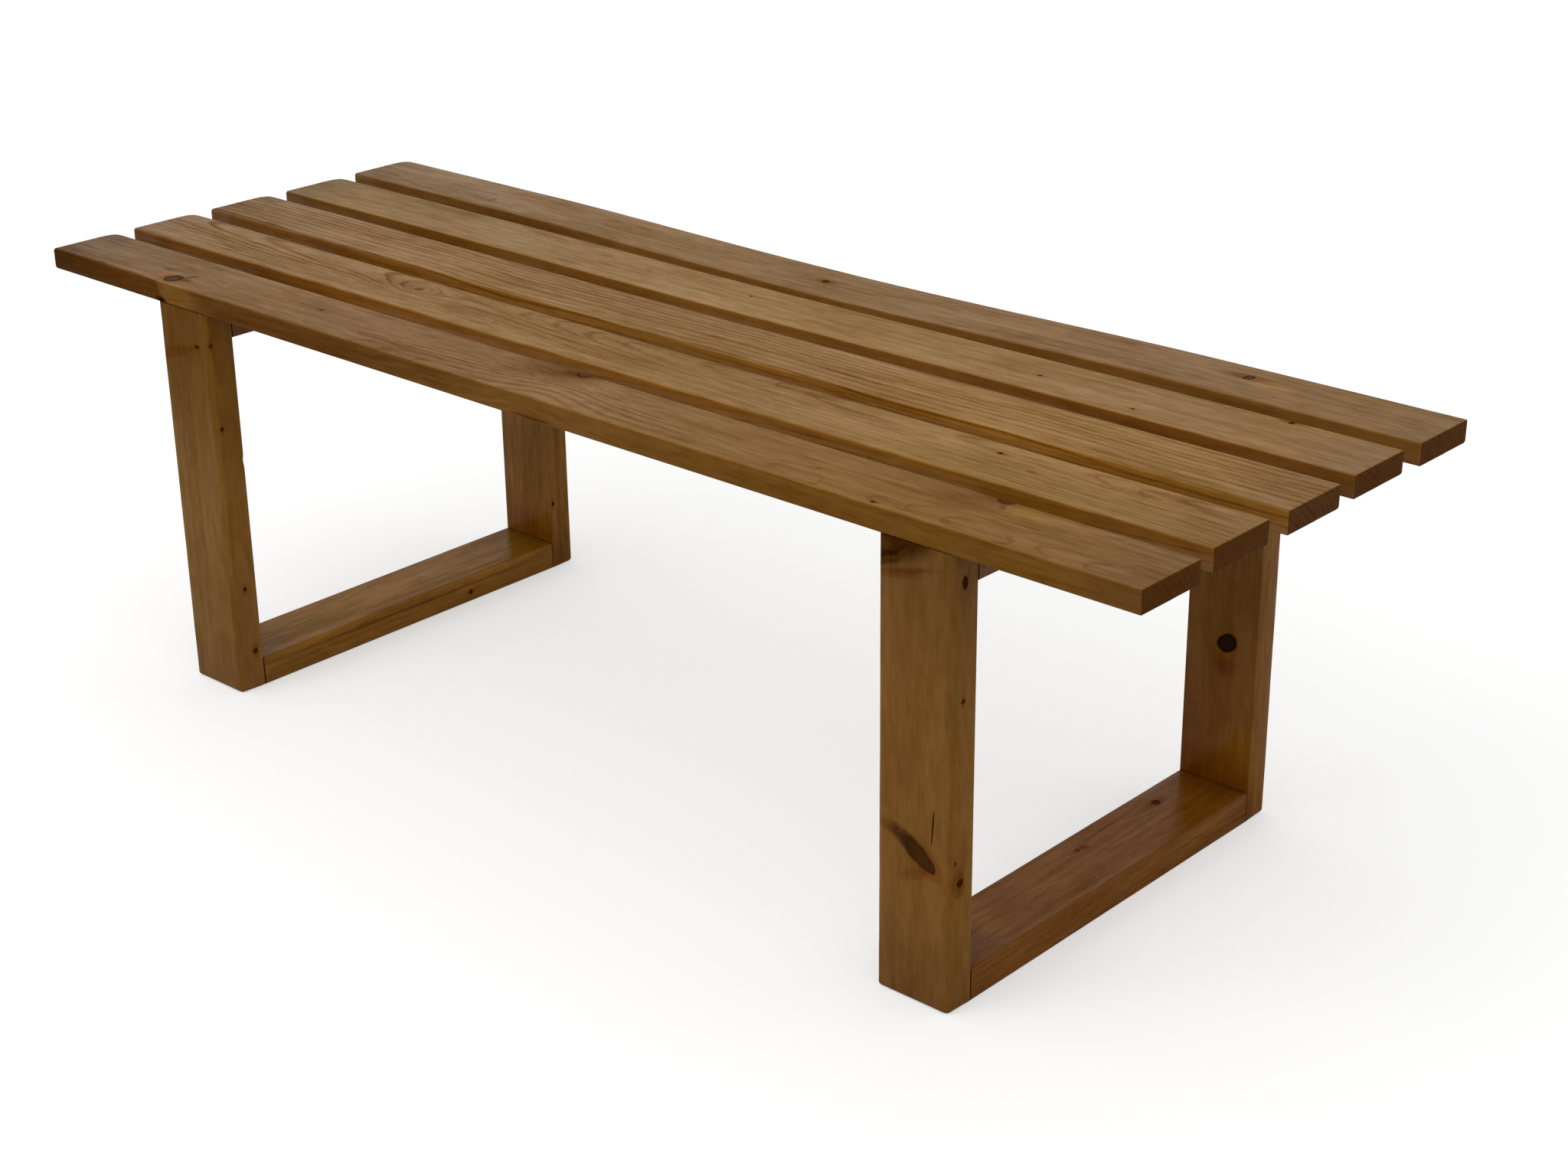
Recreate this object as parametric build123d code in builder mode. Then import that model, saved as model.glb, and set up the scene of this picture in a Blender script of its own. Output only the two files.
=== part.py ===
"""A fixed slatted bench of pine: five slats screwed down on two dowelled leg frames.

+X runs along the slats to the right, +Y to the back and +Z up. The origin lies on the floor
under the middle of the bench. All sizes are in millimetres.
"""
from build123d import *
import os
from math import radians, tan

os.makedirs("parts", exist_ok=True)

# ---- seat slats ----
bench_length = 1440.0
slat_width = 80.0
slat_thickness = 22.0
slat_gap = 25.0
slat_edge_radius = 1.5
# each slat's back corner at its left end is rounded off more than the others
slat_corner_radius = 8.0
# how far each slat stops short of the bench's two ends, from the front slat to the back one
left_set_backs = (0.5, 0.0, 1.0, 4.0, 2.0)
right_set_backs = (0.0, 5.0, 3.0, 4.5, 2.0)

# ---- leg frames ----
frame_width = 80.0
upright_length = 432.0
upright_thickness = 32.0
rail_thickness = 32.0
left_overhang = 189.0
right_overhang = 182.0
upright_edge_radius = 5.0
foot_edge_radius = 3.5
rail_edge_radius = 2.0
rail_end_chamfer = 0.5

# ---- dowels between rails and uprights ----
dowel_diameter = 8.0
dowel_length = 40.0
dowel_edge_distance = 14.0
dowel_cover = 12.0
dowel_clearance = 0.05
dowel_end_clearance = 1.0
dowel_chamfer = 1.0
flute_count = 12
flute_diameter = 0.8

# ---- screws from the top rails up into the slats ----
screw_diameter = 4.0
screw_head_diameter = 8.0
screw_head_angle = 90.0
screw_head_rim = 0.5
screw_head_recess = 0.5
screw_tip_length = 5.0
screw_tip_diameter = 0.6
screw_cover = 8.5
screw_stagger = 12.0
screw_rail_clearance = 0.25
screw_pilot_clearance = 0.05
screw_end_clearance = 1.0
driver_slot_length = 4.4
driver_slot_width = 1.1
driver_slot_depth = 1.6

# ---- places that follow from the sizes ----
slat_count = len(left_set_backs)
slat_pitch = slat_width + slat_gap
bench_depth = slat_count * slat_width + (slat_count - 1) * slat_gap
slat_centres = [(number - (slat_count - 1) / 2) * slat_pitch for number in range(slat_count)]
frame_centres = {
    "left": -bench_length / 2 + left_overhang + frame_width / 2,
    "right": bench_length / 2 - right_overhang - frame_width / 2,
}
# which way each upright lies from the middle of its frame, along Y
upright_sides = {"front": -1, "back": 1}
rail_end = bench_depth / 2 - upright_thickness
rail_centres = {"bottom": rail_thickness / 2, "top": upright_length - rail_thickness / 2}

dowel_radius = dowel_diameter / 2
dowel_hole_radius = dowel_radius + dowel_clearance
dowel_offset = frame_width / 2 - dowel_edge_distance
dowel_offsets = {"left": -dowel_offset, "right": dowel_offset}
upright_hole_depth = upright_thickness - dowel_cover
dowel_start = dowel_end_clearance - upright_hole_depth
rail_hole_depth = dowel_start + dowel_length + dowel_end_clearance

screw_radius = screw_diameter / 2
screw_head_radius = screw_head_diameter / 2
screw_head_z = upright_length - rail_thickness + screw_head_recess
screw_tip_z = upright_length + slat_thickness - screw_cover
pilot_depth = screw_tip_z - upright_length + screw_end_clearance


def screw_points(frame_x, slat_centre):
    """The two staggered screws that hold one slat where it lies on a top rail."""
    front = max(slat_centre - slat_width / 2, -rail_end)
    back = min(slat_centre + slat_width / 2, rail_end)
    middle = (front + back) / 2
    return [(frame_x + side * screw_stagger, middle + side * screw_stagger) for side in (-1, 1)]


def joint_planes(frame_x, rail_z, side, facing):
    """Planes where a rail's end meets an upright, one on each dowel's axis, facing along Y."""
    return [
        Plane(origin=(frame_x + offset, side * rail_end, rail_z), x_dir=(1, 0, 0), z_dir=(0, facing, 0))
        for offset in dowel_offsets.values()
    ]


def drill(planes, radius, depth):
    """Cut blind round holes into the piece being built, from planes that face out of it."""
    for plane in planes:
        with BuildSketch(plane) as mouth:
            Circle(radius)
        extrude(mouth.sketch, amount=-depth, mode=Mode.SUBTRACT)


def write(piece, name):
    """Name a finished piece and write its file."""
    piece.part.label = name
    export_step(piece.part, f"parts/{name}.step")


def make_slat(name, slat_centre, left_set_back, right_set_back):
    """One seat board with rounded edges and blind screw holes in its underside."""
    length = bench_length - left_set_back - right_set_back
    middle = (left_set_back - right_set_back) / 2
    with BuildPart() as slat:
        with BuildSketch(Plane.XY.offset(upright_length)):
            with Locations((middle, slat_centre)):
                Rectangle(length, slat_width)
        extrude(amount=slat_thickness)
        left_corners = slat.edges().filter_by(Axis.Z).sort_by(Axis.X)[:2]
        fillet(left_corners.sort_by(Axis.Y)[-1], radius=slat_corner_radius)
        fillet(slat.edges(), radius=slat_edge_radius)
        for frame_x in frame_centres.values():
            mouths = [
                Plane(origin=(x, y, upright_length), z_dir=(0, 0, -1))
                for x, y in screw_points(frame_x, slat_centre)
            ]
            drill(mouths, screw_radius + screw_pilot_clearance, pilot_depth)
    write(slat, name)


def make_upright(name, frame_x, side):
    """One leg board from floor to slats, round on its outer side, with blind dowel holes inside."""
    with BuildPart() as upright:
        with BuildSketch(Plane.XY) as outline:
            with Locations((frame_x, side * (rail_end + upright_thickness / 2))):
                Rectangle(frame_width, upright_thickness)
            outer_corners = outline.vertices().sort_by(Axis.Y, reverse=side > 0)[:2]
            fillet(outer_corners, radius=upright_edge_radius)
        extrude(amount=upright_length)
        foot_edges = upright.faces().sort_by(Axis.Z)[0].edges()
        outer_foot_edges = foot_edges.sort_by(Axis.Y, reverse=side > 0)[:-1]
        fillet(outer_foot_edges, radius=foot_edge_radius)
        for rail_z in rail_centres.values():
            planes = joint_planes(frame_x, rail_z, side, -side)
            drill(planes, dowel_hole_radius, upright_hole_depth)
    write(upright, name)


def make_rail(name, frame_x, rail_z, carries_slats):
    """One cross board between two uprights, with dowel holes in its ends and screw holes."""
    with BuildPart() as rail:
        with BuildSketch(Plane.XZ.offset(-rail_end)):
            with Locations((frame_x, rail_z)):
                RectangleRounded(frame_width, rail_thickness, rail_edge_radius)
        extrude(amount=2 * rail_end)
        end_faces = rail.faces().filter_by(Axis.Y)
        chamfer(end_faces.edges(), length=rail_end_chamfer)
        for side in upright_sides.values():
            drill(joint_planes(frame_x, rail_z, side, side), dowel_hole_radius, rail_hole_depth)
        if carries_slats:
            seats = [
                Plane(origin=(x, y, screw_head_z + screw_head_rim), z_dir=(0, 0, -1))
                for slat_centre in slat_centres
                for x, y in screw_points(frame_x, slat_centre)
            ]
            with Locations(*seats):
                CounterSinkHole(
                    radius=screw_radius + screw_rail_clearance,
                    counter_sink_radius=screw_head_radius + screw_rail_clearance,
                    depth=rail_thickness,
                    counter_sink_angle=screw_head_angle,
                )
    write(rail, name)


def make_dowel(name, plane):
    """One fluted pin, chamfered at both ends, lying across the joint at the given plane."""
    with BuildPart() as dowel:
        with BuildSketch(plane.offset(dowel_start)):
            Circle(dowel_radius)
        extrude(amount=dowel_length)
        chamfer(dowel.edges().filter_by(GeomType.CIRCLE), length=dowel_chamfer)
        with BuildSketch(plane.offset(dowel_start)):
            with PolarLocations(dowel_radius, flute_count):
                Circle(flute_diameter / 2)
        extrude(amount=dowel_length, mode=Mode.SUBTRACT)
    write(dowel, name)


def make_screw(name, x, y):
    """One countersunk wood screw that stands head down, with a cross slot in its head."""
    head_depth = screw_head_rim + (screw_head_radius - screw_radius) / tan(radians(screw_head_angle / 2))
    length = screw_tip_z - screw_head_z
    with BuildPart() as screw:
        with BuildSketch(Plane(origin=(x, y, screw_head_z), x_dir=(1, 0, 0), z_dir=(0, -1, 0))):
            with BuildLine():
                Polyline(
                    (0, 0),
                    (screw_head_radius, 0),
                    (screw_head_radius, screw_head_rim),
                    (screw_radius, head_depth),
                    (screw_radius, length - screw_tip_length),
                    (screw_tip_diameter / 2, length),
                    (0, length),
                    close=True,
                )
            make_face()
        revolve(axis=Axis((x, y, 0), (0, 0, 1)))
        with BuildSketch(Plane(origin=(x, y, screw_head_z))):
            Rectangle(driver_slot_length, driver_slot_width)
            Rectangle(driver_slot_width, driver_slot_length)
        extrude(amount=driver_slot_depth, mode=Mode.SUBTRACT)
    write(screw, name)


for number, slat_centre in enumerate(slat_centres):
    make_slat(f"slat_{number + 1}", slat_centre, left_set_backs[number], right_set_backs[number])

for frame, frame_x in frame_centres.items():
    for place, side in upright_sides.items():
        make_upright(f"{frame}_{place}_upright", frame_x, side)
    for level, rail_z in rail_centres.items():
        make_rail(f"{frame}_{level}_rail", frame_x, rail_z, carries_slats=level == "top")
        for place, side in upright_sides.items():
            planes = joint_planes(frame_x, rail_z, side, -side)
            for hand, plane in zip(dowel_offsets, planes):
                make_dowel(f"{frame}_{level}_{place}_dowel_{hand}", plane)
    for number, slat_centre in enumerate(slat_centres):
        for place, (x, y) in zip(upright_sides, screw_points(frame_x, slat_centre)):
            make_screw(f"{frame}_slat_{number + 1}_{place}_screw", x, y)
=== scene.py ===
"""Dress the slatted pine bench: planed boards, lacquered wood, fixings, floor, light and camera.

Lengths are in metres, but the tables of looks are in millimetres.
"""
from math import radians

import bpy
from mathutils import Matrix, Vector


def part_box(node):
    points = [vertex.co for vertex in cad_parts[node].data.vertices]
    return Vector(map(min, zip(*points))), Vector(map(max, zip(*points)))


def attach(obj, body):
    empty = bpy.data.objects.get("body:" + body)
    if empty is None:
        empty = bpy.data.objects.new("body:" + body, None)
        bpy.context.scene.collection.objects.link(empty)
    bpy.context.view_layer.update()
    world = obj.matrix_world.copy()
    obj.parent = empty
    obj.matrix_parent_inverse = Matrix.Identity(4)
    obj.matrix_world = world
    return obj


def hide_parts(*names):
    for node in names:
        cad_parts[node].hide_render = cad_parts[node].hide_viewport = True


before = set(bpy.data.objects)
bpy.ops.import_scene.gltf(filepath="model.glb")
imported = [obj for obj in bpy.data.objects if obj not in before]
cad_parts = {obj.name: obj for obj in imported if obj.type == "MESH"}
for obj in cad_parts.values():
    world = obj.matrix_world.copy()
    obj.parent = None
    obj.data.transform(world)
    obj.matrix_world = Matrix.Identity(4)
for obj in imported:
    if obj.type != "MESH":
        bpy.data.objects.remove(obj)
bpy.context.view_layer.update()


# ---- node trees

class Flow:
    """One output of a node. Arithmetic on it adds the nodes that work the result out."""

    def __init__(self, tree, socket):
        self.tree = tree
        self.socket = socket

    def maths(self, operation, *others):
        return flow_of(self.tree, "ShaderNodeMath", (self, *others), operation=operation)

    def vector(self, operation, *others, out=0):
        return flow_of(self.tree, "ShaderNodeVectorMath", (self, *others), out, operation=operation)

    def work(self, operation, first, second):
        """Vector maths for a place or a colour, and plain maths for a number."""
        kind = "ShaderNodeVectorMath" if self.socket.type in ("VECTOR", "RGBA") else "ShaderNodeMath"
        return flow_of(self.tree, kind, (first, second), operation=operation)

    def __add__(self, other):
        return self.work("ADD", self, other)

    def __sub__(self, other):
        return self.work("SUBTRACT", self, other)

    def __rsub__(self, other):
        return self.work("SUBTRACT", other, self)

    def __mul__(self, other):
        return self.work("MULTIPLY", self, other)

    def __truediv__(self, other):
        return self.work("DIVIDE", self, other)

    def __neg__(self):
        return self.maths("MULTIPLY", -1.0)

    __radd__ = __add__
    __rmul__ = __mul__

    def size(self):
        return self.maths("ABSOLUTE")

    def sign(self):
        return self.maths("SIGN")

    def least(self, other):
        return self.maths("MINIMUM", other)

    def most(self, other):
        return self.maths("MAXIMUM", other)

    def kept_in(self, low, high):
        return self.least(high).most(low)

    def ramp(self, start, end, low=0.0, high=1.0, shape="SMOOTHSTEP"):
        """Run from low at start to high at end, and stay level outside them."""
        inputs = (self, start, end, low, high)
        return flow_of(self.tree, "ShaderNodeMapRange", inputs, interpolation_type=shape)

    def parts(self):
        """The three numbers of a vector."""
        made = add(self.tree, "ShaderNodeSeparateXYZ", (self,))
        return [Flow(self.tree, out) for out in made.outputs]

    def along(self, other):
        """The dot product of two vectors."""
        return self.vector("DOT_PRODUCT", other, out=1)

    def length(self):
        return self.vector("LENGTH", out=1)

    def scaled(self, amount):
        """A vector made longer or shorter by one number."""
        inputs = {0: self, "Scale": amount}
        return flow_of(self.tree, "ShaderNodeVectorMath", inputs, operation="SCALE")

    def noise(self, scale, detail=2.0, roughness=0.5, out=0):
        """Cloudy noise. A scale of three numbers is finer along some axes than others."""
        place, scale = (self * scale, 1.0) if isinstance(scale, tuple) else (self, scale)
        inputs = {"Vector": place, "Scale": scale, "Detail": detail, "Roughness": roughness}
        return flow_of(self.tree, "ShaderNodeTexNoise", inputs, out)

    def blend(self, first, second, how="MIX"):
        """Two colours mixed by this amount, from 0 to 1."""
        inputs = {0: self, 6: first, 7: second}
        return flow_of(self.tree, "ShaderNodeMix", inputs, 2, data_type="RGBA", blend_type=how)

    def tint(self, colour, other):
        """A colour multiplied by another, by this amount."""
        return self.blend(colour, other, "MULTIPLY")


def add(tree, kind, inputs=(), **settings):
    """Put a node in a tree. An input that is a Flow is linked, and any other value is set."""
    made = tree.nodes.new(kind)
    for name, value in settings.items():
        setattr(made, name, value)
    pairs = inputs.items() if isinstance(inputs, dict) else enumerate(inputs)
    for place, value in pairs:
        socket = made.inputs[place]
        if isinstance(value, Flow):
            tree.links.new(value.socket, socket)
        else:
            socket.default_value = (*value, 1) if socket.type == "RGBA" else value
    return made


def flow_of(tree, kind, inputs=(), out=0, **settings):
    """Put a node in a tree and hand on one of its outputs."""
    return Flow(tree, add(tree, kind, inputs, **settings).outputs[out])


def vector_of(tree, x, y, z):
    return flow_of(tree, "ShaderNodeCombineXYZ", (x, y, z))


def new_group(name, inputs, kind="ShaderNodeTree"):
    """Start a node group. Each input is named with its kind of socket or with its first value."""
    tree = bpy.data.node_groups.new(name, kind)
    for label, value in inputs.items():
        socket = {str: value, int: "Int", float: "Float"}[type(value)]
        made = tree.interface.new_socket(label, in_out="INPUT", socket_type=f"NodeSocket{socket}")
        if socket != value:
            made.default_value = value
    entry = tree.nodes.new("NodeGroupInput")
    return tree, {label: Flow(tree, entry.outputs[label]) for label in inputs}


def close_group(tree, results):
    """Give the group one output for each result, and hand on its tree."""
    kinds = {"VALUE": "Float", "VECTOR": "Vector", "RGBA": "Color", "GEOMETRY": "Geometry"}
    for label, result in results.items():
        socket = kinds[result.socket.type]
        tree.interface.new_socket(label, in_out="OUTPUT", socket_type=f"NodeSocket{socket}")
    add(tree, "NodeGroupOutput", results)
    return tree


def input_names(group):
    """The names of a group's inputs, each with the socket that it stands for."""
    return {item.name: item.identifier for item in group.interface.items_tree if item.in_out == "INPUT"}


def new_material(name):
    """A material with an empty tree."""
    made = bpy.data.materials.new(name)
    made.use_nodes = True
    made.node_tree.nodes.clear()
    return made, made.node_tree


def coordinate(tree, kind):
    return flow_of(tree, "ShaderNodeTexCoord", out=kind)


def show(tree, shader, kind="Material"):
    """Make a shader the surface that the tree gives."""
    add(tree, "ShaderNodeOutput" + kind, {"Surface": shader})


def close_material(colour, height, deepest, strength, inputs):
    """End a material's tree with its colour, its relief and the shader's other inputs."""
    tree = colour.tree
    relief = flow_of(tree, "ShaderNodeBump", {"Strength": strength, "Distance": deepest, "Height": height})
    inputs = {"Base Color": colour, "Normal": relief, **inputs}
    show(tree, flow_of(tree, "ShaderNodeBsdfPrincipled", inputs))


# ---- the planed board

CORNER_ROWS = 3.0       # rows of points that share a rounded edge
CORNER_BAND = 1.6       # their reach, as a share of the edge's radius


def corner_step(step):
    """How far in from an edge each row of points lies, from 0 on the edge to 1 past the rounding.

    Three straight runs follow the even angles of a quarter circle, and the last row clears it.
    """
    return (step * 0.366).least(step * 0.259 + 0.107).most(step * 0.375 - 0.125).least(1.0)


def spread_rows(place, rows, half, radius):
    """Turn a row number into a place across the board, with close rows where an edge is rounded."""
    step = rows - place.size()
    band = radius * CORNER_BAND
    reach = (half - band) * (place.size() / (rows - CORNER_ROWS)).least(1.0)
    return place.sign() * (reach + band * (1.0 - corner_step(step)))


def make_board_group():
    """Geometry nodes for one planed board: rounded and worn edges, sag, a dent and blind bores."""
    tree, given = new_group("planed_board", {
        "Length": 1.0, "Width": 0.08, "Thickness": 0.022, "Upper Radius": 0.0015, "Lower Radius": 0.0015,
        "Lower Back Radius": 0.0015, "Left Round": 0.0015, "Right Round": 0.0015, "Left Softness": 0.0,
        "Left Corner": 0.0, "Edge Wear": 0.2, "Sag": 0.0, "Sag Start": -1.0, "Sag End": 1.0,
        "Dent Place": "Vector", "Dent Length": 0.005, "Dent Depth": 0.0, "Place": "Vector", "Turn": "Vector",
        "Rows": 80, "Seed": 0.0, "Bore Points": "Object", "Bore Turn": "Vector", "Bore Radius": 0.004,
        "Bore Depth": 0.02, "Finish": "Material",
    }, "GeometryNodeTree")
    rows_x, rows_y, rows_z = given["Rows"], 8.0, 7.0
    block = flow_of(tree, "GeometryNodeMeshCube", {
        "Size": vector_of(tree, rows_x * 2.0, rows_y * 2.0, rows_z * 2.0),
        "Vertices X": rows_x * 2.0 + 1.0,
        "Vertices Y": int(rows_y * 2 + 1), "Vertices Z": int(rows_z * 2 + 1),
    })
    x, y, z = flow_of(tree, "GeometryNodeInputPosition").parts()
    half_x, half_y, half_z = [given[side] * 0.5 for side in ("Length", "Width", "Thickness")]
    on_back, on_right = [place.maths("GREATER_THAN", 0.0) for place in (y, x)]

    # the radius of the long edges: worn by chance, softer by the left end, and dented
    far = x / rows_x * half_x
    arris = vector_of(tree, far + given["Seed"], y.sign() * 3.0 + given["Seed"], z.sign() * 3.0)
    wear = (arris.noise(11.0, 3.0, 0.6) - 0.5) * 2.0 * given["Edge Wear"] + 1.0
    height = z / rows_z * 0.5 + 0.5
    low = given["Lower Radius"] + (given["Lower Back Radius"] - given["Lower Radius"]) * on_back
    radius = (low + (given["Upper Radius"] - low) * height) * wear
    near_left = (far + half_x).ramp(0.016, 0.002) * given["Left Softness"]
    radius = radius + (given["Left Round"] - radius).most(0.0) * near_left
    dent_x, dent_y, dent_z = given["Dent Place"].parts()
    from_dent = (far - dent_x) / given["Dent Length"]
    same_arris = (y * dent_y).maths("GREATER_THAN", 0.0) * (z * dent_z).maths("GREATER_THAN", 0.0)
    dent = (-(from_dent * from_dent)).maths("EXPONENT") * same_arris * given["Dent Depth"]
    radius_z = radius + dent

    # the ends' own radius, and the rounder corner at the back of the left end
    radius_x = given["Left Round"] + (given["Right Round"] - given["Left Round"]) * on_right
    along_corner = (far + half_x).ramp(0.024, 0.008) * on_back
    radius_y = radius_z + (given["Left Corner"] - radius_z).most(0.0) * along_corner
    across_corner = (y / rows_y).ramp(0.45, 0.85) * (1.0 - on_right)
    radius_x = radius_x + (given["Left Corner"] - radius_x).most(0.0) * across_corner

    across = []
    for place, rows, half, round_off in (
        (x, rows_x, half_x, radius_x), (y, rows_y, half_y, radius_y), (z, rows_z, half_z, radius_z),
    ):
        spot = spread_rows(place, rows, half, round_off)
        inside = spot.least(half - round_off).most(round_off - half)
        across.append((inside, round_off, (spot - inside) / round_off))
    reach = vector_of(tree, *[out for _, _, out in across]).length()
    place_x, place_y, place_z = [inside + round_off * out / reach for inside, round_off, out in across]

    share = ((place_x - given["Sag Start"]) / (given["Sag End"] - given["Sag Start"])).kept_in(0.0, 1.0)
    bow = 1.0 - (share * 2.0 - 1.0) * (share * 2.0 - 1.0)
    shape = vector_of(tree, place_x, place_y, place_z - given["Sag"] * bow * bow)
    shaped = flow_of(tree, "GeometryNodeSetPosition", {"Geometry": block, "Position": shape})
    placed = flow_of(tree, "GeometryNodeTransform", {
        "Geometry": shaped, "Translation": given["Place"], "Rotation": given["Turn"],
    })

    marks = flow_of(tree, "GeometryNodeObjectInfo", {"Object": given["Bore Points"]}, "Geometry")
    drill = flow_of(tree, "GeometryNodeMeshCylinder", {
        "Vertices": 24, "Radius": given["Bore Radius"], "Depth": given["Bore Depth"] * 2.0,
    })
    drills = flow_of(tree, "GeometryNodeInstanceOnPoints", {
        "Points": marks, "Instance": drill, "Rotation": given["Bore Turn"],
    })
    cutters = flow_of(tree, "GeometryNodeRealizeInstances", {"Geometry": drills})
    bored = flow_of(tree, "GeometryNodeMeshBoolean", {"Mesh 1": placed, "Mesh 2": cutters},
                    operation="DIFFERENCE", solver="EXACT")
    smooth = flow_of(tree, "GeometryNodeSetShadeSmooth", {"Geometry": bored})
    whole = flow_of(tree, "GeometryNodeRealizeInstances", {"Geometry": smooth})
    finished = flow_of(tree, "GeometryNodeSetMaterial", {"Geometry": whole, "Material": given["Finish"]})
    return close_group(tree, {"Geometry": finished})


def link(thing):
    bpy.context.scene.collection.objects.link(thing)
    return thing


def make_board(name, node, inputs, bores, bore_turn=(0, 0, 0)):
    """Run the board tree once and keep its result as a plain mesh that stands for a CAD node."""
    points = bpy.data.meshes.new(name + "_bores")
    points.from_pydata(bores, [], [])
    marks = link(bpy.data.objects.new(name + "_bores", points))
    holder = link(bpy.data.objects.new(name, bpy.data.meshes.new(name + "_blank")))
    shaper = holder.modifiers.new("planed_board", "NODES")
    shaper.node_group = GROUPS["board"]
    sockets = input_names(shaper.node_group)
    for label, value in {**inputs, "Bore Points": marks, "Bore Turn": bore_turn}.items():
        shaper[sockets[label]] = value
    graph = bpy.context.evaluated_depsgraph_get()
    mesh = bpy.data.meshes.new_from_object(holder.evaluated_get(graph))
    mesh.name = name
    holder.modifiers.clear()
    holder.data = mesh
    mesh.set_sharp_from_angle(angle=radians(40))
    bpy.data.objects.remove(marks)
    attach(holder, "root")
    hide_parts(node)
    return holder


# ---- wood

def make_knot_group():
    """Where a knot lies in a board, and how the grain runs round it."""
    tree, given = new_group("knot_place", {
        "Board": "Vector", "Grain": "Vector", "Centre": "Vector", "Axis": "Vector", "Radius": 0.005,
        "Taper": 0.0, "Stretch": 2.5, "Push": 1.0, "Lift": 0.0, "Rough": 0.35, "Soft": 0.1,
        "Coarse": "Vector", "Small": "Vector",
    })
    board, grain, centre, axis, size, taper, stretch, push, lift, rough, soft, coarse, small = given.values()
    away = board - centre
    depth = away.along(axis)
    aside = away - axis.scaled(depth)
    radius = (size * (depth * taper + 1.0)).most(0.00002)
    jitter = (coarse + small * (0.5, 0.5, 0.5)).scaled(radius * rough * 1.6)
    reach = (aside + jitter).length() / radius
    heart = (reach - 1.0).ramp(-soft, soft, 1.0, 0.0)
    rim = (reach - 0.94).ramp(0.0, 0.2, 1.0, 0.0) * (reach - 0.94).ramp(-0.42, 0.0)
    side_x, side_y, side_z = aside.parts()
    long_x = side_x / stretch
    spread = long_x * long_x + side_y * side_y + side_z * side_z
    area = size * size
    pull = area / spread.most(area)
    bump = (-(spread / (area * 6.0))).maths("EXPONENT")
    shift = vector_of(tree, 0.0, side_y * pull * push, bump * lift)
    rings = (reach * 17.0).maths("SINE") * 0.5 + 0.5
    return close_group(tree, {
        "Grain": grain - shift, "Heart": heart, "Rim": rim, "Halo": pull, "Rings": rings,
    })


def make_knot_finish_group():
    """The colour, height and gloss that a knot gives the wood."""
    tree, given = new_group("knot_finish", {
        "Colour": "Color", "Height": 0.0, "Gloss": 1.0, "Heart": 0.0, "Rim": 0.0, "Halo": 0.0, "Rings": 0.0,
        "Heart Colour": "Color", "Rim Colour": "Color", "Halo Colour": "Color",
        "Heart Amount": 1.0, "Rim Amount": 1.0, "Halo Amount": 0.6, "Gloss Kept": 0.3,
    })
    (colour, height, gloss, heart, rim, halo, rings, heart_colour, rim_colour, halo_colour,
     heart_amount, rim_amount, halo_amount, kept) = given.values()
    around = (halo * halo * halo_amount).tint(colour, halo_colour)
    ringed = (rings * 0.3).blend(heart_colour, rim_colour)
    middle = (heart * heart_amount).blend(around, ringed)
    colour = (rim * rim_amount).blend(middle, rim_colour)
    height = height + heart * 0.35 - rim * rim_amount * 0.8
    knotty = (heart * heart_amount).most(rim * rim_amount)
    gloss = gloss * (1.0 - knotty * (1.0 - kept))
    gloss = gloss * (1.0 - halo * halo * heart_amount.most(rim_amount) * 0.6)
    return close_group(tree, {"Colour": colour, "Height": height, "Gloss": gloss})


def make_stain_and_shade_group():
    """A soft patch, lighter or darker than the wood round it. Most are real stains; some are painted shade,
    where the bench gets less light.
    """
    tree, given = new_group("stain_and_shade", {
        "Colour": "Color", "Gloss": 1.0, "Board": "Vector", "Centre": "Vector", "Size": "Vector",
        "Turn": 0.0, "Tint": "Color", "Edge": 0.5, "Gloss Kept": 1.0, "Coarse": "Vector", "Small": "Vector",
    })
    colour, gloss, board, centre, size, turn, tint, edge, kept, coarse, small = given.values()
    turned = flow_of(tree, "ShaderNodeVectorRotate", {"Vector": board - centre, "Angle": turn},
                     rotation_type="Z_AXIS")
    waver = vector_of(tree, 0.004, 0.004, 0.004) / size + (0.2, 0.2, 0.2)
    ripple = coarse + small * (0.3, 0.3, 0.3)
    spot = turned / size + ripple * waver
    amount = spot.length().ramp(1.0 - edge, 1.0 + edge, 1.0, 0.0)
    gloss = gloss * (1.0 - amount * (1.0 - kept))
    return close_group(tree, {"Colour": amount.tint(colour, tint), "Gloss": gloss})


def make_crack_group():
    """A thin drying crack between two points of a face."""
    tree, given = new_group("crack", {
        "Colour": "Color", "Height": 0.0, "Gloss": 1.0, "Board": "Vector",
        "From": "Vector", "To": "Vector", "Half Width": 0.0005,
    })
    colour, height, gloss, board, start, end, half_width = given.values()
    run = end - start
    away = board - start
    share = (away.along(run) / run.along(run)).kept_in(0.0, 1.0)
    sway = (board.noise(160.0) - 0.5) * 0.0008
    gap = ((away - run.scaled(share)).length() + sway).size()
    width = half_width * (share * (1.0 - share) * 3.0 + 0.35)
    opened = (gap / width).ramp(0.7, 1.5, 1.0, 0.0)
    return close_group(tree, {
        "Colour": opened.blend(colour, (0.036, 0.011, 0.002)),
        "Height": height - opened * 3.0, "Gloss": gloss * (1.0 - opened),
    })


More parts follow.
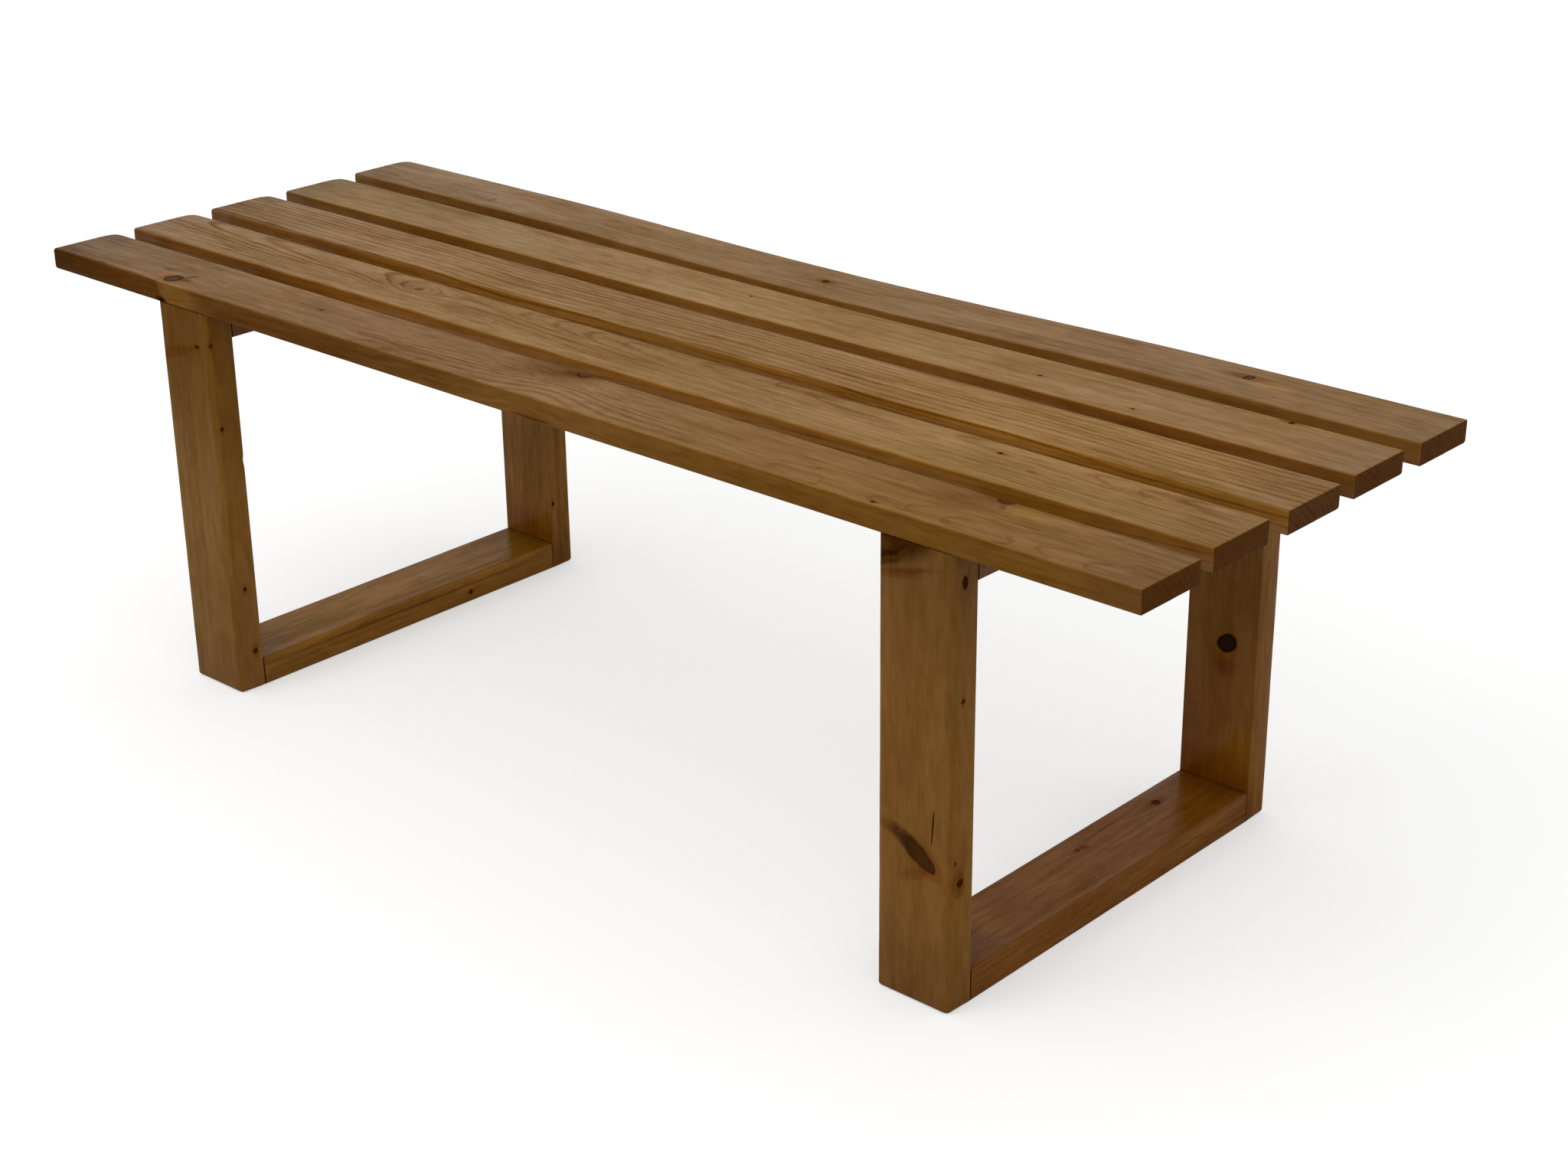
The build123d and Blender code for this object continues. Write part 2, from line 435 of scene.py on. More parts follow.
def make_wisp_group():
    """A ring cut near its tip: one thin dark curve, open towards one end of the board."""
    tree, given = new_group("wisp", {
        "Colour": "Color", "Gloss": 1.0, "Board": "Vector", "Tip": "Vector", "Length": 0.03,
        "Half Width": 0.01, "Line": 0.001, "Tint": "Color", "Coarse": "Vector", "Small": "Vector",
    })
    colour, gloss, board, tip, length, half_width, thin, tint, coarse, small = given.values()
    sway = coarse.parts()[0] + small.parts()[0] * 0.4
    along, across, deep = (board - tip).parts()
    side = across / half_width + sway * 0.9
    off = (along - side * side * length + sway * length.size() * 0.5).size()
    slant = side.size() * length.size() / half_width * 2.0 + 1.0
    line = (off / slant / thin).ramp(0.0, 1.7, 1.0, 0.0) * side.size().ramp(0.35, 1.25, 1.0, 0.0)
    line = line * deep.ramp(-0.004, -0.001)
    return close_group(tree, {"Colour": line.tint(colour, tint), "Gloss": gloss * (1.0 - line * 0.4)})


def make_pine_group():
    """Solid pine: growth rings about a pith, fibres along the grain, end grain and worn edges."""
    tree, given = new_group("pine", {
        "Board": "Vector", "Grain": "Vector", "Pith": "Vector", "Seed": "Vector", "Ring Width": 0.005,
        "Slope": 0.01, "Wander": 0.01, "Wave": 0.001, "Ring Amount": 0.6, "Fibre Amount": 0.5,
        "Early Colour": "Color", "Late Colour": "Color", "Narrow Tint": "Color", "End Colour": "Color",
        "Facing": "Vector", "Half Size": "Vector", "End Shade": 0.15, "Joint Shade": 0.0,
        "Narrow Gloss": 0.85, "Lined Middle": "Vector", "Lined Size": "Vector", "Lined Amount": 0.0,
    })
    board, seed, fibre = given["Board"], given["Seed"], given["Fibre Amount"]
    grain = given["Grain"] + seed
    x, y, z = given["Grain"].parts()
    _, pith_y, pith_z = given["Pith"].parts()

    # the heart of the tree wanders slowly along the board, and each ring waves on its own
    _, drift_y, drift_z = grain.noise((2.2, 0.4, 0.4), 2.0, 0.45, out=1).parts()
    wave = grain.noise((11.0, 26.0, 26.0)) - 0.5
    off_y = y - pith_y + (drift_y - 0.5) * given["Wander"]
    off_z = z - pith_z + (drift_z - 0.5) * given["Wander"]
    from_pith = (off_y * off_y + off_z * off_z).maths("SQRT")
    from_pith = from_pith + x * given["Slope"] + wave * given["Wave"]
    count = from_pith / given["Ring Width"]
    uneven = flow_of(tree, "ShaderNodeTexNoise", {
        "W": count * 0.31 + pith_z * 40.0, "Scale": 1.0, "Detail": 1.0,
    }, noise_dimensions="1D")
    count = count + uneven * 1.6
    part = count.maths("FRACT")
    own = flow_of(tree, "ShaderNodeTexWhiteNoise", {"W": count.maths("FLOOR")}, noise_dimensions="1D")
    fade = grain.noise((7.0, 34.0, 34.0), 3.0, 0.6).ramp(0.30, 0.66, 0.35, 1.0)
    band = part.ramp(0.50, 0.87) * part.ramp(0.89, 1.0, 1.0, 0.0)
    late = band * (own * 0.6 + 0.6) * fade

    # long fibres, the short dark dashes of resin canals, and slow changes of tone
    streak = grain.noise((6.0, 170.0, 170.0), 4.0, 0.66)
    fine = grain.noise((26.0, 620.0, 620.0), 3.0, 0.7)
    dashes = grain.noise((75.0, 1300.0, 1300.0), 1.0).ramp(0.66, 0.76)
    tone = grain.noise((5.0, 24.0, 24.0), 4.0, 0.6)
    warm = (grain * (3.2, 13.0, 13.0) + (7.0, 3.0, 5.0)).noise(1.0, 3.0, 0.6)
    fleck = (grain * (38.0, 150.0, 150.0) + (2.0, 9.0, 4.0)).noise(1.0, 3.0, 0.62)

    from_lined = (board - given["Lined Middle"]) / given["Lined Size"]
    lined = from_lined.length().ramp(0.55, 1.25, 1.0, 0.0) * given["Lined Amount"]
    amount = (late * given["Ring Amount"] + band * lined + (streak - 0.5) * fibre + (fine - 0.5) * fibre * 1.5
              + (tone - 0.5) * 0.5 + (fleck - 0.5) * 0.45 + dashes * 0.2 + 0.12).kept_in(0.0, 1.0)
    colour = amount.blend(given["Early Colour"], given["Late Colour"])
    light = (0.5 - tone) * 0.5 + (0.5 - streak) * fibre * 0.4 + (0.5 - fleck) * 0.3 + 1.0
    redness = (warm - 0.5) * 0.24
    colour = colour * vector_of(tree, light, light * (1.0 - redness), light * (1.0 - redness * 1.6))

    # the narrow faces are darker and redder than the broad ones, and so are both ends
    face_x, _, face_z = given["Facing"].parts()
    narrow = face_z.size().ramp(0.80, 0.35)
    colour = narrow.tint(colour, given["Narrow Tint"])
    from_x, from_y, from_z = [
        half - place.size() for half, place in zip(given["Half Size"].parts(), board.parts())
    ]
    ending = (from_x + (tone - 0.5) * 0.05).ramp(0.10, 0.004) * given["End Shade"]
    colour = ending.tint(colour, (0.25, 0.12, 0.05))
    # painted shade: a thin dark, dull line along each end of a rail, for the shaded groove where it meets an
    # upright
    painted_joint_shade = from_x.ramp(0.0019, 0.0006) * given["Joint Shade"]
    colour = painted_joint_shade.tint(colour, (0.10, 0.03, 0.02))

    # the end grain drinks more stain
    saw = board.noise((40.0, 210.0, 90.0), 3.0, 0.6)
    blot = board.noise((60.0, 60.0, 110.0)).ramp(0.4, 0.7)
    drunk = (late * 0.35 + saw * 0.5 + blot * 0.3).least(1.0)
    end_colour = drunk.blend(given["End Colour"], given["End Colour"] * (0.60, 0.50, 0.45))
    on_end = (face_x.size() + (saw - 0.5) * 0.3).ramp(0.50, 0.80)
    colour = on_end.blend(colour, end_colour)

    # rubbed edges
    inset_x, inset_y, inset_z = [inset.ramp(0.0028, 0.0004) for inset in (from_x, from_y, from_z)]
    arris = (inset_y * inset_z).most(inset_x * inset_z).most(inset_x * inset_y)
    rub = arris * grain.noise(45.0, 4.0, 0.65).ramp(0.45, 0.70)
    colour = (rub * 0.4).tint(colour, (1.25, 1.2, 1.1))

    height = late * 0.2 + streak * 0.35 + fine * 0.3 - dashes * 0.25 - rub * 0.4 + on_end * saw * 0.8
    smudge = (board + seed).noise(9.0, 4.0, 0.6)
    roughness = smudge * 0.22 + 0.34 - late * 0.06 + rub * 0.12 + on_end * 0.15
    gloss = (1.0 - amount * 0.92) * (light * 2.2 - 1.2) * (1.12 - smudge * 0.24)
    gloss = gloss * (1.0 - narrow * (1.0 - given["Narrow Gloss"])) * (1.0 - on_end * 0.8) * (1.0 - rub * 0.3)
    gloss = gloss * (1.0 - painted_joint_shade)
    return close_group(tree, {"Colour": colour, "Height": height, "Roughness": roughness, "Gloss": gloss})


GROUPS = {
    "board": make_board_group(), "knot": make_knot_group(), "knot_finish": make_knot_finish_group(),
    "stain_and_shade": make_stain_and_shade_group(), "crack": make_crack_group(), "wisp": make_wisp_group(),
    "pine": make_pine_group(),
}

# how a board lies: the rows are its grain, width and thickness directions in the bench
LIES = {
    "slat": Matrix(((1, 0, 0), (0, 1, 0), (0, 0, 1))),
    "upright": Matrix(((0, 0, 1), (1, 0, 0), (0, 1, 0))),
    "rail": Matrix(((0, 1, 0), (-1, 0, 0), (0, 0, 1))),
}

# heart, rim and halo of the kinds of knot, and how much of the gloss they keep
KNOTS = {
    "brown": ((0.088, 0.042, 0.016), (0.034, 0.012, 0.002), (0.90, 0.80, 0.70), 0.44),
    "black": ((0.030, 0.013, 0.006), (0.007, 0.002, 0.001), (1.18, 1.25, 1.2), 0.12),
    "dark": ((0.050, 0.017, 0.004), (0.024, 0.007, 0.001), (0.76, 0.62, 0.50), 0.04),
    "red": ((0.070, 0.021, 0.002), (0.040, 0.011, 0.002), (0.84, 0.68, 0.55), 0.08),
    "sound": ((0.120, 0.048, 0.004), (0.070, 0.025, 0.003), (0.92, 0.80, 0.70), 0.6),
}

LACQUER = 0.40                         # how much of the full mirror gloss the old lacquer keeps
LATE_SHARE = (0.50, 0.44, 0.34)        # late wood, as a share of the early wood's colour
END_GRAIN = (0.112, 0.039, 0.005)
AMBER = (0.220, 0.088, 0.006)

# what holds for a board, a knot or a stain or patch of painted shade where LOOKS doesn't say otherwise
USUAL_LOOK = dict(
    slope=0.008, wander=12, wave=3, fibre=0.7, narrow=(1.0, 0.9, 0.85), narrow_gloss=0.85, gloss=1.0,
    end_shade=0.15, joint_shade=0.0, lined=((0, 0, 0), (100, 100, 100), 0.0),
    knots=(), wisps=(), stains_and_shade=(), cracks=(),
)
USUAL_KNOT = dict(
    taper=13.0, stretch=2.6, push=0.9, lift=0.0, rough=0.3, soft=0.16, heart=1.0, rim=0.8, halo=0.6,
)
USUAL_EDGE, USUAL_ANGLE = 0.6, 0.0


def mm(*numbers):
    """A place or a size in millimetres, as metres."""
    return Vector(numbers) / 1000.0


def shown_face(node):
    """The axis across the face of a board that shows, and how far out it lies, in millimetres."""
    if "upright" in node:
        return 1, (-250 if "front" in node else 218)
    return 2, (454 if "slat" in node else 32)


def pine(node, lie, middle, half):
    """The lacquered pine of one board, with its own knots, stains, patches of painted shade and cracks."""
    look = {**USUAL_LOOK, **LOOKS[node]}
    made, tree = new_material("pine_" + node)
    turn = LIES[lie]
    axis_across, level = shown_face(node)

    def inside(place):
        """A place in the bench, as a place in the board. Two numbers lie on the face that shows."""
        if len(place) == 2:
            place = (*place[:axis_across], level, *place[axis_across:])
        return turn @ (mm(*place) - middle)

    board = flow_of(tree, "ShaderNodeMapping", {
        "Vector": coordinate(tree, "Object"), "Location": -(turn @ middle), "Rotation": turn.to_euler(),
    })
    normal = coordinate(tree, "Normal")
    ripple = board + Vector(look["seed"])
    known = {
        "Board": board, "Grain": board,
        "Coarse": ripple.noise(55.0, 2.0, 0.55, out=1) - (0.5, 0.5, 0.5),
        "Small": ripple.noise(320.0, 2.0, 0.6, out=1) - (0.5, 0.5, 0.5),
    }

    def lay(name, inputs):
        """Run what is known of the wood so far through one more group, and keep what it gives."""
        values = {**known, **inputs}
        wanted = {label: values[label] for label in input_names(GROUPS[name])}
        group = add(tree, "ShaderNodeGroup", wanted, node_tree=GROUPS[name])
        given = {out.name: Flow(tree, out) for out in group.outputs}
        known.update(given)
        return given

    knots = []
    for place, radius, kind, *rest in look["knots"]:
        knot = {"axis": turn[2], **USUAL_KNOT, **(rest[0] if rest else {})}
        field = lay("knot", {
            "Centre": inside(place), "Axis": turn @ Vector(knot["axis"]).normalized(),
            "Radius": radius / 1000.0, "Lift": knot["lift"] / 1000.0,
            **{part.title(): knot[part] for part in ("taper", "stretch", "push", "rough", "soft")},
        })
        knots.append((field, kind, knot))

    lined_place, lined_size, lined_amount = look["lined"]
    lay("pine", {
        "Pith": mm(0, *look["pith"]), "Seed": Vector(look["seed"]), "Ring Width": look["ring_width"] / 1000.0,
        "Slope": look["slope"], "Wander": look["wander"] / 1000.0, "Wave": look["wave"] / 1000.0,
        "Ring Amount": look["rings"], "Fibre Amount": look["fibre"], "Early Colour": look["early"],
        "Late Colour": [early * share for early, share in zip(look["early"], LATE_SHARE)],
        "Narrow Tint": look["narrow"], "Narrow Gloss": look["narrow_gloss"], "End Colour": END_GRAIN,
        "Facing": vector_of(tree, *[normal.along(tuple(row)) for row in turn]), "Half Size": half,
        "End Shade": look["end_shade"], "Joint Shade": look["joint_shade"],
        "Lined Middle": inside(lined_place), "Lined Size": mm(*lined_size), "Lined Amount": lined_amount,
    })
    for tip, length, half_width, line, percents in look["wisps"]:
        lay("wisp", {
            "Tip": inside(tip), "Length": length / 1000.0, "Half Width": half_width / 1000.0,
            "Line": line / 1000.0, "Tint": [percent / 100 for percent in percents],
        })
    for place, size, percents, *rest in look["stains_and_shade"]:
        edge = rest[0] if rest else USUAL_EDGE
        angle = rest[1] if len(rest) > 1 else USUAL_ANGLE
        tint = [percent / 100 for percent in percents]
        lay("stain_and_shade", {
            "Centre": inside(place), "Size": [abs(side) for side in turn @ mm(*size)], "Turn": radians(angle),
            "Tint": tint, "Edge": edge, "Gloss Kept": min(tint) * 1.2 if max(tint) < 1.0 else 1.0,
        })
    for field, kind, knot in knots:
        heart, rim, halo, kept = KNOTS[kind]
        lay("knot_finish", {
            **field, "Heart Colour": heart, "Rim Colour": rim, "Halo Colour": halo, "Gloss Kept": kept,
            **{part.title() + " Amount": knot[part] for part in ("heart", "rim", "halo")},
        })
    for start, end, half_width in look["cracks"]:
        lay("crack", {"From": inside(start), "To": inside(end), "Half Width": half_width / 1000.0})

    gloss = known["Gloss"] * (LACQUER * look["gloss"])
    close_material(known["Colour"], known["Height"], 0.0004, 0.35, {
        "Roughness": known["Roughness"], "Specular IOR Level": 0.0,
        "Coat Weight": gloss, "Coat Roughness": 0.25, "Coat IOR": 1.5,
    })
    return made


# ---- what each board looks like

# Places and sizes are in millimetres in the bench, and tints in per cent. Knots have a place, a radius,
# a kind and what is special. Wisps have a tip, a length, a half width, a line and a tint. Stains and
# painted shade have a place, half sizes, a tint, a softness and a turn. Cracks have two ends and a half
# width.
LOOKS = {}
LOOKS["slat_1"] = dict(
    seed=(3.1, 0.4, 7.7), pith=(-92, -74), ring_width=6.2, slope=-0.03, wander=22, wave=3, rings=0.15,
    early=(0.22, 0.096, 0.004), narrow=(0.82, 0.74, 0.34), narrow_gloss=0.66, end_shade=0.28,
    lined=((0, -224), (230, 26, 60), 0.38),
    knots=[
        ((-523, -233.5), 10, "brown", dict(axis=(0, 0.15, 1), stretch=1.7, rough=0.5, rim=1)),
        ((-317, -203), 2.4, "red", dict(rough=0.6, heart=0.6, rim=0.6)),
        ((42, -214), 15, "sound", dict(push=0, lift=19, stretch=1.4, heart=0, rim=0, halo=0)),
        ((0, -230), 18, "sound", dict(push=0, lift=12, stretch=5, heart=0, rim=0, halo=0)),
        ((33, -170), 8.5, "dark", dict(stretch=2.4, rough=0.5, soft=0.3, heart=0.2, rim=0.8)),
        ((447, -244), 2.2, "red", dict(rough=0.6)),
        ((529, -167), 10, "dark", dict(stretch=2.4, rough=0.6, soft=0.3, heart=0.7, rim=0.6)),
    ],
    wisps=[
        ((323, -234), 22, 9, 1.9, (86, 80, 76)), ((384, -240), -14, 14, 1.8, (88, 83, 80)),
        ((439, -236), 14, 8, 1.9, (86, 79, 75)), ((475, -232), 22, 12, 2, (87, 81, 77)),
        ((514, -234), 26, 12, 2.1, (84, 77, 71)), ((586, -239), -18, 13, 2, (87, 81, 76)),
        ((609, -234), 28, 11, 2.1, (86, 79, 74)), ((660, -236), 24, 12, 2, (88, 83, 78)),
        ((-214, -246), 46, 20, 2, (88, 83, 81)), ((-176, -250), 50, 20, 2, (87, 81, 78)),
        ((-128, -250), 44, 20, 2, (87, 81, 77)),
    ],
    stains_and_shade=[
        # painted shade: this patch darkens the left end of the slat, where less light falls
        ((-740, -210), (240, 160, 90), (72, 70, 73), 0.9),
        ((-646, -252, 440), (124, 7, 40), (70, 58, 28), 0.05),
        ((-496, -251, 443), (26, 5, 14), (134, 150, 120), 0.5),
        ((-330, -251, 441), (150, 5, 30), (76, 68, 42), 0.5),
        ((-525, -249, 433), (8, 5, 6), (16, 7, 5), 0.5), ((-556, -216), (9, 4, 6), (74, 64, 58)),
        ((-539, -228), (9, 12, 6), (122, 127, 125)), ((-512, -219), (9, 4, 6), (62, 54, 50), 0.6, -53),
        ((-506, -230), (9, 3.5, 6), (70, 60, 52)), ((-295, -238), (9, 4, 6), (84, 77, 72)),
        ((-385, -228), (45, 1.8, 6), (88, 82, 78), 0.6, -3), ((-300, -222), (40, 1.8, 6), (86, 80, 75)),
        ((-245, -230), (26, 1.8, 6), (86, 80, 75), 0.6, -15), ((-177, -220), (6, 2.5, 6), (80, 70, 62)),
        ((4, -184), (46, 20, 18), (74, 61, 52), 0.8), ((-200, -210), (130, 60, 40), (84, 80, 70), 0.9),
        ((430, -205), (220, 70, 40), (99, 99, 62), 0.9), ((24, -179), (15, 9, 18), (82, 70, 62), 0.8),
        ((64, -188), (28, 15, 18), (114, 118, 112)), ((112, -225), (9, 2.5, 6), (82, 73, 64)),
        ((40, -250, 434), (22, 3, 2), (55, 42, 35)), ((362, -214), (4, 1.5, 4), (66, 54, 45)),
        ((502, -186), (30, 18, 10), (76, 64, 50), 0.8), ((535, -184), (3, 6, 6), (76, 64, 54), 0.6, -30),
        ((560, -186), (20, 12, 10), (118, 126, 120)), ((645, -179), (7, 2, 6), (76, 64, 55)),
    ],
)
LOOKS["slat_2"] = dict(
    seed=(9.3, 2.2, 4.1), pith=(30, -40), ring_width=4.2, slope=-0.03, wander=15, wave=2.5, rings=0.46,
    early=(0.262, 0.122, 0.01), narrow=(0.97, 0.82, 1.2), lined=((-530, -88), (240, 30, 60), 0.26),
    knots=[
        ((-297, -92), 9, "sound", dict(lift=8, stretch=2.2, heart=0, rim=0, halo=0.3)),
        ((-296, -92), 4.4, "red", dict(rough=1.1, stretch=1.4, push=0, rim=0.2, heart=0.5)),
        ((457, -86), 2.2, "dark"),
    ],
    wisps=[
        ((-108, -77), 48, 19, 2.1, (72, 60, 52)), ((-58, -80), 42, 16, 2.1, (70, 58, 50)),
        ((-8, -78), 60, 14, 2, (80, 71, 64)), ((186, -72), 34, 10, 2, (78, 68, 60)),
        ((226, -76), 60, 12, 2, (80, 71, 64)), ((548, -78), 46, 12, 2.2, (74, 62, 54)),
        ((596, -82), 52, 12, 2.2, (76, 64, 56)), ((640, -76), 50, 10, 2, (80, 70, 62)),
        ((-327, -88), 26, 12, 1.6, (74, 63, 56)), ((-267, -88), -26, 12, 1.6, (74, 63, 56)),
        ((-312, -90), 14, 7, 1.5, (80, 70, 63)), ((-279, -89), -14, 7, 1.5, (80, 70, 63)),
    ],
    stains_and_shade=[
        # painted shade: the first patch here darkens the left end of the slat, where less light falls
        ((-740, -105), (240, 160, 90), (86, 86, 90), 0.9), ((-148, -77), (7, 9, 8), (80, 70, 64)),
        ((-212, -78), (26, 6, 8), (94, 86, 86)), ((-212, -102), (34, 1.6, 8), (84, 75, 68)),
        ((-190, -107), (46, 1.6, 8), (84, 75, 68)), ((-153, -118), (6, 1.8, 5), (72, 60, 50)),
        ((-46, -121), (15, 1.4, 5), (80, 70, 62)), ((-44, -129), (11, 1.6, 5), (84, 75, 68)),
        ((440, -105), (150, 50, 30), (107, 109, 105), 0.9),
        ((-150, -105), (110, 60, 30), (101, 104, 118), 0.9), ((505, -104), (6, 2, 5), (74, 62, 50)),
        ((-600, -145, 443), (110, 5, 30), (86, 80, 62), 0.5),
        ((-430, -145, 443), (110, 5, 30), (88, 82, 100), 0.6),
    ],
)
LOOKS["slat_3"] = dict(
    seed=(1.7, 5.5, 2.9), pith=(-105, -90), ring_width=6.2, slope=0.004, wander=26, wave=4, rings=0.85,
    early=(0.258, 0.116, 0.008), narrow=(1.12, 1.06, 1.7), narrow_gloss=1.2, end_shade=0.2,
    knots=[((512, -26), 2, "sound", dict(push=2, stretch=8, heart=0.4, rim=0.2))],
    stains_and_shade=[
        # painted shade: the first patch here darkens the left end of the slat, where less light falls
        ((-740, 0), (240, 160, 90), (82, 82, 86), 0.9), ((-610, -33), (16, 5, 8), (82, 72, 66)),
        ((430, 0), (170, 50, 30), (114, 117, 110), 0.9),
        ((-600, -40, 443), (120, 5, 30), (84, 76, 70), 0.5),
        ((420, -40, 447), (300, 4, 1.3), (80, 72, 62), 0.6),
        ((300, -40, 443), (420, 4, 1.2), (82, 74, 64), 0.6),
        ((470, -40, 439), (250, 4, 1.3), (80, 72, 62), 0.6),
        ((-430, -40, 443), (110, 5, 30), (84, 77, 85), 0.6),
        ((560, -40, 443), (180, 5, 30), (112, 116, 150), 0.6),
        ((200, -40, 436), (500, 4, 1), (80, 72, 60), 0.6),
    ],
)
LOOKS["slat_4"] = dict(
    seed=(6.2, 8.1, 0.6), pith=(-104, -120), ring_width=6.4, slope=0.01, wander=24, rings=0.15,
    early=(0.274, 0.136, 0.016), narrow=(0.76, 0.62, 0.8), end_shade=0.3,
    knots=[
        ((-20, 115), 1.8, "red"),
        ((357, 102), 1.8, "red"),
        ((477, 81), 1.8, "red"),
        ((605, 141), 3, "red", dict(stretch=4)),
    ],
    stains_and_shade=[
        # painted shade: the first patch here darkens the left end of the slat, where less light falls
        ((-740, 105), (420, 160, 90), (80, 80, 72), 0.9), ((-345, 135), (26, 8, 10), (82, 70, 64)),
        ((-285, 141), (20, 6, 10), (84, 72, 66)), ((-235, 122), (7, 2.5, 5), (80, 70, 62)),
        ((-163, 112), (4, 2, 4), (74, 62, 52)), ((420, 102), (290, 5, 14), (88, 82, 76)),
        ((640, 141), (24, 8, 8), (114, 118, 115)), ((100, 105), (130, 60, 30), (108, 111, 115), 0.9),
        ((560, 105), (170, 60, 30), (97, 94, 88), 0.9),
    ],
)
LOOKS["slat_5"] = dict(
    seed=(4.4, 3.3, 8.8), pith=(-98, -104), ring_width=6.0, slope=0.009, wander=24, rings=0.16, gloss=0.95,
    early=(0.222, 0.104, 0.012), narrow=(1.0, 0.92, 1.4),
    knots=[
        ((-5, 212), 4.6, "red", dict(rough=0.9, soft=0.3)),
        ((508, 222), 5.6, "dark", dict(stretch=2.6, rough=1, heart=0.6, soft=0.25)),
    ],
    stains_and_shade=[
        # painted shade: the first patch here darkens the left end of the slat, where less light falls
        ((-740, 210), (240, 160, 90), (88, 88, 90), 0.9), ((-500, 195), (5, 6, 5), (78, 68, 60)),
        ((-440, 230), (60, 6, 10), (88, 80, 74)), ((494, 222), (12, 7, 8), (84, 74, 66), 0.8),
        ((538, 212), (20, 11, 8), (120, 130, 120)), ((430, 210), (110, 60, 30), (95, 91, 86), 0.9),
        ((-430, 170, 443), (110, 5, 30), (84, 76, 80), 0.6),
    ],
)
LOOKS["right_front_upright"] = dict(
    seed=(2.6, 6.4, 1.2), pith=(-95, 60), ring_width=6.5, slope=0.006, wander=14, rings=0.12, gloss=0.86,
    fibre=0.28, early=(0.214, 0.09, 0.007), narrow=(1.14, 1.16, 1.0), narrow_gloss=0.7,
    knots=[
        ((511, 143), 7.4, "dark", dict(axis=(-0.79, -0.35, 0.5), taper=24, stretch=1.8, rough=0.25,
                                       soft=0.2, rim=0.45, heart=0.82, halo=0.8)),
        ((538, -235.5, 404), 3.3, "dark", dict(axis=(1, 0, 1.3), stretch=1.8, rough=0.8, soft=0.35)),
        ((538, -235, 126), 3.2, "dark", dict(axis=(1, 0, 0.2), rough=0.9, soft=0.25, rim=1)),
        ((538, -235, 297), 2.4, "red", dict(axis=(1, 0, 0), rough=0.6)),
        ((538, -242, 147), 1.4, "red", dict(axis=(1, 0, 0))),
    ],
    stains_and_shade=[
        ((474, 434), (46, 14, 24), (36, 26, 17), 0.32, 20), ((466, 415), (13, 9, 2), (62, 52, 46), 0.5, 24),
        ((478, 421), (13, 9, 1.6), (66, 58, 50), 0.6, 38),
        ((482, 419), (17, 9, 4.5), (120, 130, 130), 0.6, 22), ((464, 424), (7, 9, 5), (140, 180, 240), 0.5),
        ((468, 409), (14, 9, 2.2), (70, 58, 50), 0.7, 20),
        ((486, 405), (27, 9, 2.8), (70, 50, 36), 0.7, 14),
        ((480, 399), (22, 8, 1.8), (84, 70, 56), 0.7, 12), ((474, 163), (24, 9, 5), (80, 68, 54), 0.8, -10),
        ((484, 172), (30, 9, 5), (106, 110, 105), 0.8, -14),
        ((500, 128), (20, 6, 5), (86, 76, 66), 0.6, 30), ((498, 432), (60, 12, 90), (86, 87, 78), 0.9),
        ((530, -234, 150), (12, 9, 20), (86, 74, 64), 0.8), ((498, 0), (60, 40, 60), (86, 80, 74), 0.9),
    ],
    cracks=[((520.5, 194), (518, 160.5), 0.75)],
)
LOOKS["left_front_upright"] = dict(
    seed=(7.2, 1.9, 3.4), pith=(-90, 60), ring_width=7.0, slope=0.006, wander=14, rings=0.1, gloss=0.9,
    fibre=0.28, early=(0.22, 0.1, 0.008), narrow=(1.32, 1.24, 1.1), narrow_gloss=1.1,
    knots=[
        ((-470, 394), 2, "red", dict(axis=(0.86, -0.5, 0.1), taper=60, rough=0.9, halo=0.1)),
        ((-451, -246, 398), 2.4, "red", dict(axis=(0.96, 0.05, 0.28), taper=60, heart=0.8, rim=0.6)),
        ((-451, -242, 305), 2.2, "red", dict(axis=(1, 0, 0.1))),
        ((-451, -233, 119), 2.2, "dark", dict(axis=(1, 0, 0))),
        ((-451, -227, 44), 3.2, "red", dict(axis=(1, 0.1, 0.1))),
    ],
    stains_and_shade=[
        ((-491, 445), (70, 40, 130), (74, 65, 34), 0.75), ((-491, 300), (70, 40, 60), (88, 87, 70), 0.9),
        ((-508, 190), (2.5, 8, 150), (90, 84, 78), 0.8), ((-494, 190), (2.5, 8, 150), (92, 86, 80), 0.8),
        ((-485, 216), (6, 8, 200), (106, 106, 105), 0.8), ((-491, 0), (60, 40, 50), (88, 82, 76), 0.9),
        ((-450, -234, 402), (5, 40, 70), (113, 119, 150), 0.7),
        ((-450, -234, 92), (5, 40, 50), (86, 82, 95), 0.7),
    ],
)
LOOKS["right_back_upright"] = dict(
    seed=(5.9, 7.3, 6.1), pith=(-90, 80), ring_width=6.2, slope=0.006, wander=12, rings=0.14, gloss=0.82,
    fibre=0.4, early=(0.21, 0.078, 0.004), narrow=(1.06, 1.1, 1.1), narrow_gloss=0.7,
    knots=[
        ((504, 184), 8.8, "black", dict(axis=(0.55, -0.8, 0.32), taper=3, stretch=1.5, rough=0.2,
                                        halo=0.3)),
    ],
    stains_and_shade=[
        ((503, 160), (11, 6, 10), (74, 58, 44), 0.8), ((498, 235), (60, 12, 60), (88, 93, 60), 0.9),
        # painted shade: this patch darkens the inner face low down, in the corner round the bottom rail
        ((498, 216, 30), (60, 14, 34), (76, 62, 50), 0.7),
        ((539, 236, 42), (5, 20, 30), (120, 125, 130), 0.7), ((470, 112), (30, 8, 60), (82, 74, 66), 0.8),
        ((530, 62), (26, 8, 38), (128, 140, 190), 0.7), ((539, 236, 160), (5, 40, 90), (91, 91, 86), 0.8),
    ],
)
